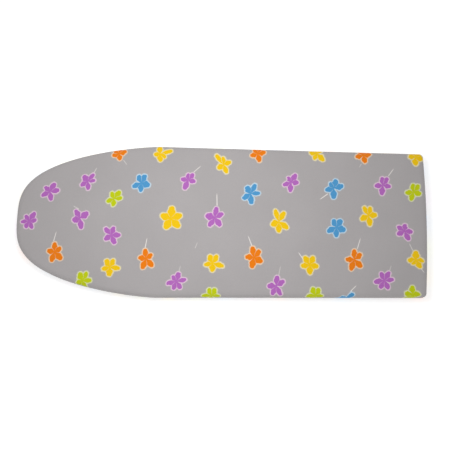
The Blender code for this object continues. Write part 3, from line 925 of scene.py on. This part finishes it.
def cover_cut():
    """The cover before it is pulled over the board: the outline plus an even margin."""
    run = distances(COVER_PROFILE)[-1]
    margin = (run - COVER_PROFILE[0][0]) * MM
    loop = loop_at(0.0)
    closed = loop + loop[:1]
    area = sum((ax * by - bx * ay) / 2 for (ax, ay), (bx, by) in zip(closed, closed[1:]))
    area = abs(area) + distances(closed)[-1] * margin + math.pi * margin**2
    return (WIDTH + 2 * margin, LENGTH + 2 * margin), area


cut_size, cut_area = cover_cut()


# ---------- steel and trim
# One finish for each material slot.
FINISHES = {
    "painted_deck_steel": painted("deck_paint", (0.66, 0.67, 0.68), 0.44),
    "painted_rim_steel": painted("rim_paint", (0.62, 0.63, 0.64), 0.40),
    "powder_coated_tube": painted("tube_paint", (0.76, 0.76, 0.755), 0.34),
    "zinc_bracket": metal("zinc_plate", (0.66, 0.67, 0.69), 0.36, (90.0, 90.0, 500.0)),
    "bright_wire": metal("drawn_wire", (0.72, 0.73, 0.75), 0.26, (700.0, 60.0, 700.0)),
    "steel_rivet": metal("rivet_steel", (0.64, 0.64, 0.65), 0.30, (300.0, 300.0, 300.0)),
    "white_nylon": plastic("nylon", (0.84, 0.83, 0.79), 0.46),
    "dark_rubber": plastic("rubber", (0.045, 0.045, 0.050), 0.78, 900.0),
    "grey_plastic": plastic("trim_plastic", (0.20, 0.21, 0.22), 0.52),
}
SHARP = math.radians(48.0)
GAP = 0.0003


def stand_in(name, mesh, body, node, slot):
    """A finished piece that takes the place of one CAD node."""
    thing = add(name, mesh, FINISHES[slot])
    mesh.set_sharp_from_angle(angle=SHARP)
    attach(thing, body)
    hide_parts(node)
    return thing


def softened(node, edge):
    """The CAD piece's own shape with its sharp edges rounded."""
    shape = bmesh.new()
    shape.from_mesh(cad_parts[node].data)
    bmesh.ops.remove_doubles(shape, verts=shape.verts, dist=0.00001)
    bmesh.ops.dissolve_limit(
        shape, angle_limit=math.radians(1.0), verts=shape.verts, edges=shape.edges
    )
    folds = [e for e in shape.edges if len(e.link_faces) == 2 and e.calc_face_angle(0.0) > SHARP]
    bmesh.ops.bevel(
        shape, geom=folds, offset=edge, segments=2, profile=0.5, affect="EDGES", clamp_overlap=True
    )
    mesh = bpy.data.meshes.new(node)
    shape.to_mesh(mesh)
    shape.free()
    return mesh


def curve_mesh(curve):
    holder = placed("holder", curve)
    bpy.context.view_layer.update()
    graph = bpy.context.evaluated_depsgraph_get()
    mesh = bpy.data.meshes.new_from_object(holder.evaluated_get(graph))
    bpy.data.objects.remove(holder, do_unlink=True)
    return outward(mesh, weld=True)


def add_spline(curve, places, closed):
    spline = curve.splines.new("POLY")
    spline.points.add(len(places) - 1)
    for point, place in zip(spline.points, places):
        point.co = (*place, 1.0)
    spline.use_cyclic_u = closed


def plate(name, loops, thickness, z):
    """Flat sheet with holes, its cut edges slightly rounded."""
    curve = bpy.data.curves.new(name, "CURVE")
    curve.dimensions = "2D"
    curve.fill_mode = "BOTH"
    curve.bevel_depth = 0.0002
    curve.bevel_resolution = 1
    curve.extrude = thickness / 2 - curve.bevel_depth
    curve.offset = -curve.bevel_depth
    for loop in loops:
        add_spline(curve, [(x, y, 0.0) for x, y in loop], True)
    mesh = curve_mesh(curve)
    mesh.transform(Matrix.Translation((0.0, 0.0, z)))
    return mesh


def circle(x, y, radius, count):
    return arc((x, y), radius, 0.0, math.tau, count)[:-1]


def inside(loop, x, y):
    crossings = False
    for (ax, ay), (bx, by) in zip(loop, loop[1:] + loop[:1]):
        if (ay > y) != (by > y) and x < ax + (y - ay) / (by - ay) * (bx - ax):
            crossings = not crossings
    return crossings


def tube(name, path, radius, resolution, capped):
    curve = bpy.data.curves.new(name, "CURVE")
    curve.dimensions = "3D"
    curve.bevel_depth = radius
    curve.bevel_resolution = resolution
    curve.use_fill_caps = capped
    add_spline(curve, path, False)
    return curve_mesh(curve)


def lathe(name, profile, place, direction, closed=False, steps=40):
    """Turn a profile of (radius, height) points about an axis."""
    points = []
    rings = []
    for r, h in profile:
        if r < 1e-6:
            rings.append([len(points)] * steps)
            points.append(Vector((0.0, 0.0, h)))
            continue
        rings.append([len(points) + i for i in range(steps)])
        for i in range(steps):
            a = math.tau * i / steps
            points.append(Vector((r * math.cos(a), r * math.sin(a), h)))
    pairs = list(zip(rings, rings[1:]))
    if closed:
        pairs.append((rings[-1], rings[0]))
    faces = []
    for low, high in pairs:
        for i in range(steps):
            j = (i + 1) % steps
            corners = []
            for v in (low[i], low[j], high[j], high[i]):
                if v not in corners:
                    corners.append(v)
            faces.append(corners)
    turn = Vector((0, 0, 1)).rotation_difference(Vector(direction))
    return mesh_of(name, [turn @ p + Vector(place) for p in points], faces)


def arc(centre, radius, first, last, count):
    turns = [first + (last - first) * i / count for i in range(count + 1)]
    return [(centre[0] + radius * math.cos(a), centre[1] + radius * math.sin(a)) for a in turns]


# ---------- deck and rim
RIM_OUTER = 0.0012
RIM_THICKNESS = 0.0012
HOLE_RADIUS = 0.005
HOLE_PITCH = 0.060
HOLE_ROWS = 9
GUIDE_START = 0.038


def deck_holes():
    """Staggered holes, left out under the stay guides and the pivot brackets."""
    edge = loop_at(RIM_OUTER + RIM_THICKNESS + 0.012)
    holes = []
    for row in range(HOLE_ROWS):
        y = (row - (HOLE_ROWS - 1) / 2) * HOLE_PITCH / 2
        shift = HOLE_PITCH / 2 if row % 2 else 0.0
        for k in range(-7, 8):
            x = k * HOLE_PITCH + shift
            under_guide = row == (HOLE_ROWS - 1) / 2 and abs(x) > PIVOT_X + GUIDE_START - 0.012
            under_bracket = abs(abs(x) - PIVOT_X) < 0.022 and abs(y) > 0.080
            if not under_guide and not under_bracket and inside(edge, x, y):
                holes.append(circle(x, y, HOLE_RADIUS, 28))
    return holes


deck_loops = [loop_at(RIM_OUTER + RIM_THICKNESS + GAP)] + deck_holes()
deck_mesh = plate("deck_sheet", deck_loops, DECK_TOP - DECK_BOTTOM, (DECK_BOTTOM + DECK_TOP) / 2)
stand_in("deck_sheet", deck_mesh, "board", "deck_panel", "painted_deck_steel")

# Rim section as (inset, height) in mm: a folded strip with a rolled lower edge.
RIM_SECTION = [
    (1.35, 26.0), (1.2, 25.8), (1.2, 14.2), (1.3, 13.8), (1.6, 13.55), (1.8, 13.5),
    (2.0, 13.55), (2.3, 13.8), (2.4, 14.2), (2.4, 25.8), (2.25, 26.0),
]


def rim_mesh():
    rings = [[(x, y, z * MM) for x, y in loop_at(inset * MM)] for inset, z in RIM_SECTION]
    faces = looped_faces(len(rings), len(rings[0]))
    return mesh_of("rim_strip", [p for ring in rings for p in ring], faces)


stand_in("rim_strip", rim_mesh(), "board", "rim_band", "painted_rim_steel")

# ---------- pressed steel pieces
PRESSED = (
    ("cross_rib_%s", 0.0004, "painted_deck_steel"),
    ("stay_guide_%s", 0.0004, "zinc_bracket"),
    ("leg_clip_%s", 0.0005, "grey_plastic"),
    ("pivot_bracket_%s_left", 0.0004, "zinc_bracket"),
    ("pivot_bracket_%s_right", 0.0004, "zinc_bracket"),
)
for end, _, _ in ENDS:
    for pattern, edge, slot in PRESSED:
        node = pattern % end
        stand_in(node + "_shown", softened(node, edge), "board", node, slot)

# ---------- legs and stays
TUBE_WALL = 0.0012
BEND_STEPS = 18


def leg_path(sign, half):
    far, r = LEG_LENGTH, LEG_BEND
    quarter = math.pi / 2
    path = [(-TUBE_TAIL, -half)]
    path += arc((far - r, -half + r), r, -quarter, 0.0, BEND_STEPS)
    path += arc((far - r, half - r), r, 0.0, quarter, BEND_STEPS)
    path += [(-TUBE_TAIL, half)]
    return [(sign * (PIVOT_X + x), y, AXIS_Z) for x, y in path]


def stay_path(sign, half):
    arm, far, r, hook = half - STAY_INSET, STAY_LENGTH, STAY_BEND, STAY_HOOK
    quarter = math.pi / 2
    path = [(0.0, -half - 0.0015)]
    path += arc((hook, -arm - hook), hook, math.pi, quarter, 8)
    path += arc((far - r, -arm + r), r, -quarter, 0.0, 12)
    path += arc((far - r, arm - r), r, 0.0, quarter, 12)
    path += arc((hook, arm + hook), hook, -quarter, -math.pi, 8)
    path += [(0.0, half + 0.0015)]
    return [(sign * (PIVOT_X + STAY_LENGTH + x), y, AXIS_Z) for x, y in path]


def bored(thing, x, radius, reach):
    """Drill one hole along y through both side tubes."""
    place = (x, -reach, AXIS_Z)
    profile = [(0.0, 0.0), (radius, 0.0), (radius, 2 * reach), (0.0, 2 * reach)]
    drill = add("drill", lathe("drill", profile, place, (0.0, 1.0, 0.0), steps=24), None)
    cut = thing.modifiers.new("bore", "BOOLEAN")
    cut.operation = "DIFFERENCE"
    cut.solver = "EXACT"
    cut.object = drill
    finished(thing)
    bpy.data.objects.remove(drill, do_unlink=True)


def hollow_leg(sign, half, end):
    thing = add("leg_" + end, tube("leg_" + end, leg_path(sign, half), TUBE_RADIUS, 7, False), None)
    wall = thing.modifiers.new("wall", "SOLIDIFY")
    wall.thickness = TUBE_WALL
    wall.offset = -1.0
    wall.use_even_offset = True
    finished(thing)
    bored(thing, sign * PIVOT_X, 0.0028, 0.13)
    bored(thing, sign * (PIVOT_X + STAY_LENGTH), 0.0029, half)
    mesh = thing.data
    bpy.data.objects.remove(thing, do_unlink=True)
    return mesh


def sleeve_mesh(sign, side):
    """Ribbed rubber sleeve with a flat for the folded board and one for open legs.

    Each station is (mm along the sleeve, mm below its surface), None for the bore.
    """
    folded = Vector((0.0, -1.0))
    opened = Vector((sign * math.sin(OPEN_ANGLE), -math.cos(OPEN_ANGLE)))
    stations = [(0.0, 0.9), (0.35, 0.35), (0.9, 0.0)]
    for k in range(4):
        groove = 3.6 + 4.25 * k
        stations += [(groove - 0.75, 0.0), (groove - 0.35, 0.55)]
        stations += [(groove + 0.35, 0.55), (groove + 0.75, 0.0)]
    stations += [(19.1, 0.0), (19.65, 0.35), (20.0, 0.9)]
    around = 64
    middle = Vector((sign * (PIVOT_X + LEG_LENGTH), AXIS_Z))
    points = []
    stations += [(20.0, None), (0.0, None)]
    for along, depth in stations:
        y = side * (SLEEVE_INNER + along * MM)
        for i in range(around):
            a = math.tau * (i + 0.5) / around
            ray = Vector((math.cos(a), math.sin(a)))
            if depth is None:
                reach = TUBE_RADIUS + GAP
            else:
                reach = SLEEVE_RADIUS
                for flat in (folded, opened):
                    toward = ray.dot(flat)
                    if toward > 0.0:
                        reach = min(reach, SLEEVE_FLAT / toward)
                reach -= depth * MM
            spot = middle + ray * reach
            points.append((spot.x, y, spot.y))
    return mesh_of("sleeve", points, looped_faces(len(stations), around))


# Turned profiles as (radius, distance out from the tube's axis or its pivot).
RIVET_SHANK = 0.0025
RIVET_HEAD = 0.0050
RIVET_DOME = 0.0019
BRACKET_FACE = TUBE_RADIUS + 0.0022 + SHEET


def rivet_profile():
    """Low head inside the leg frame, shank, and domed head outside the bracket."""
    low = [(0.0, 1.8), (2.2, 1.7), (3.4, 1.3), (4.0, 0.8), (4.2, 0.3)]
    profile = [(r * MM, -TUBE_RADIUS - h * MM) for r, h in low]
    profile += [(RIVET_SHANK, -TUBE_RADIUS - GAP), (RIVET_SHANK, BRACKET_FACE)]
    for k in range(7):
        a = math.pi / 2 * k / 6
        profile.append((RIVET_HEAD * math.cos(a), BRACKET_FACE + RIVET_DOME * math.sin(a)))
    return profile


def washer_profile():
    """Flat washer with rounded outer edges, from its bore out and back."""
    section = [(2.8, 0.3), (6.2, 0.3), (6.5, 0.6), (6.5, 1.3), (6.2, 1.6), (2.8, 1.6)]
    return [(r * MM, TUBE_RADIUS + h * MM) for r, h in section]


def plug_profile():
    """Pillow-edged cap with a spigot inside the tube, from the cap's middle inwards."""
    cap = [(0.0, 1.8), (5.8, 1.8), (7.0, 1.6), (7.6, 1.1), (7.8, 0.7), (7.8, 0.3)]
    core = TUBE_RADIUS / MM - TUBE_WALL / MM - 0.6
    spigot = [(core, 0.3), (core, -3.0), (core - 0.5, -3.5), (0.0, -3.5)]
    return [(r * MM, TUBE_TAIL + h * MM) for r, h in cap + spigot]


for end, sign, half in ENDS:
    leg_body = "leg_" + end
    frame_mesh = hollow_leg(sign, half, end)
    stand_in("leg_frame_" + end, frame_mesh, leg_body, "leg_tube_" + end, "powder_coated_tube")
    wire = tube("stay_bar_" + end, stay_path(sign, half), WIRE_RADIUS, 5, True)
    stand_in("stay_bar_" + end, wire, "stay_" + end, "wire_stay_" + end, "bright_wire")
    for side_name, side in SIDES:
        tag = end + "_" + side_name
        away = (0.0, side, 0.0)
        place = (sign * PIVOT_X, side * half, AXIS_Z)
        rivet = lathe("rivet_" + tag, rivet_profile(), place, away)
        stand_in("rivet_" + tag, rivet, "board", "pivot_rivet_" + tag, "steel_rivet")
        washer = lathe("washer_" + tag, washer_profile(), place, away, closed=True)
        stand_in("washer_" + tag, washer, "board", "pivot_washer_" + tag, "white_nylon")
        plug = lathe("plug_" + tag, plug_profile(), place, (-sign, 0.0, 0.0))
        stand_in("plug_" + tag, plug, leg_body, "tube_plug_" + tag, "grey_plastic")
        sleeve = sleeve_mesh(sign, side)
        stand_in("sleeve_" + tag, sleeve, leg_body, "foot_sleeve_" + tag, "dark_rubber")

# ---------- studio
floor_mesh = bpy.data.meshes.new("floor")
floor_mesh.from_pydata([(-6, -6, 0), (6, -6, 0), (6, 6, 0), (-6, 6, 0)], [], [(0, 1, 2, 3)])
floor_look, floor_shader, _ = new_material("white_floor", (0.80, 0.80, 0.80), 0.9)
floor_shader.inputs["Specular IOR Level"].default_value = 0.1
floor_shader.inputs["Emission Color"].default_value = (1.0, 1.0, 1.0, 1.0)
floor_shader.inputs["Emission Strength"].default_value = 0.50
floor = add("floor", floor_mesh, floor_look, smooth=False)

# The floor stays under the lower pair of feet.
for end, sign, _ in ENDS:
    foot = placed("foot_height_" + end, None)
    foot.location = (sign * (PIVOT_X + LEG_LENGTH), 0.0, AXIS_Z)
    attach(foot, "leg_" + end)
    rule = floor.constraints.new("FLOOR")
    rule.target = foot
    rule.floor_location = "FLOOR_NEGATIVE_Z"
    rule.offset = -SLEEVE_FLAT

AMBIENT = 0.59
BACKDROP = 0.98
KEY_PLACE = (-0.05, 0.05, 0.62)
KEY_POWER = 2.05
KEY_SIZE = 0.36

world = bpy.data.worlds.new("studio")
bpy.context.scene.world = world
world.use_nodes = True
sky = world.node_tree.nodes["Background"]
sky.inputs["Color"].default_value = (1.0, 1.0, 1.0, 1.0)
sky_nodes = Nodes(world.node_tree)
seen_directly = sky_nodes.put("ShaderNodeLightPath").outputs["Is Camera Ray"]
sky_nodes.feed(sky.inputs["Strength"], sky_nodes.ramp(seen_directly, 0.0, 1.0, AMBIENT, BACKDROP))

# A square soft light straight above the board.
key = bpy.data.lights.new("key", "AREA")
key.energy = KEY_POWER
key.shape = "SQUARE"
key.size = KEY_SIZE
lamp = placed("key", key)
lamp.location = KEY_PLACE
lamp.visible_camera = False
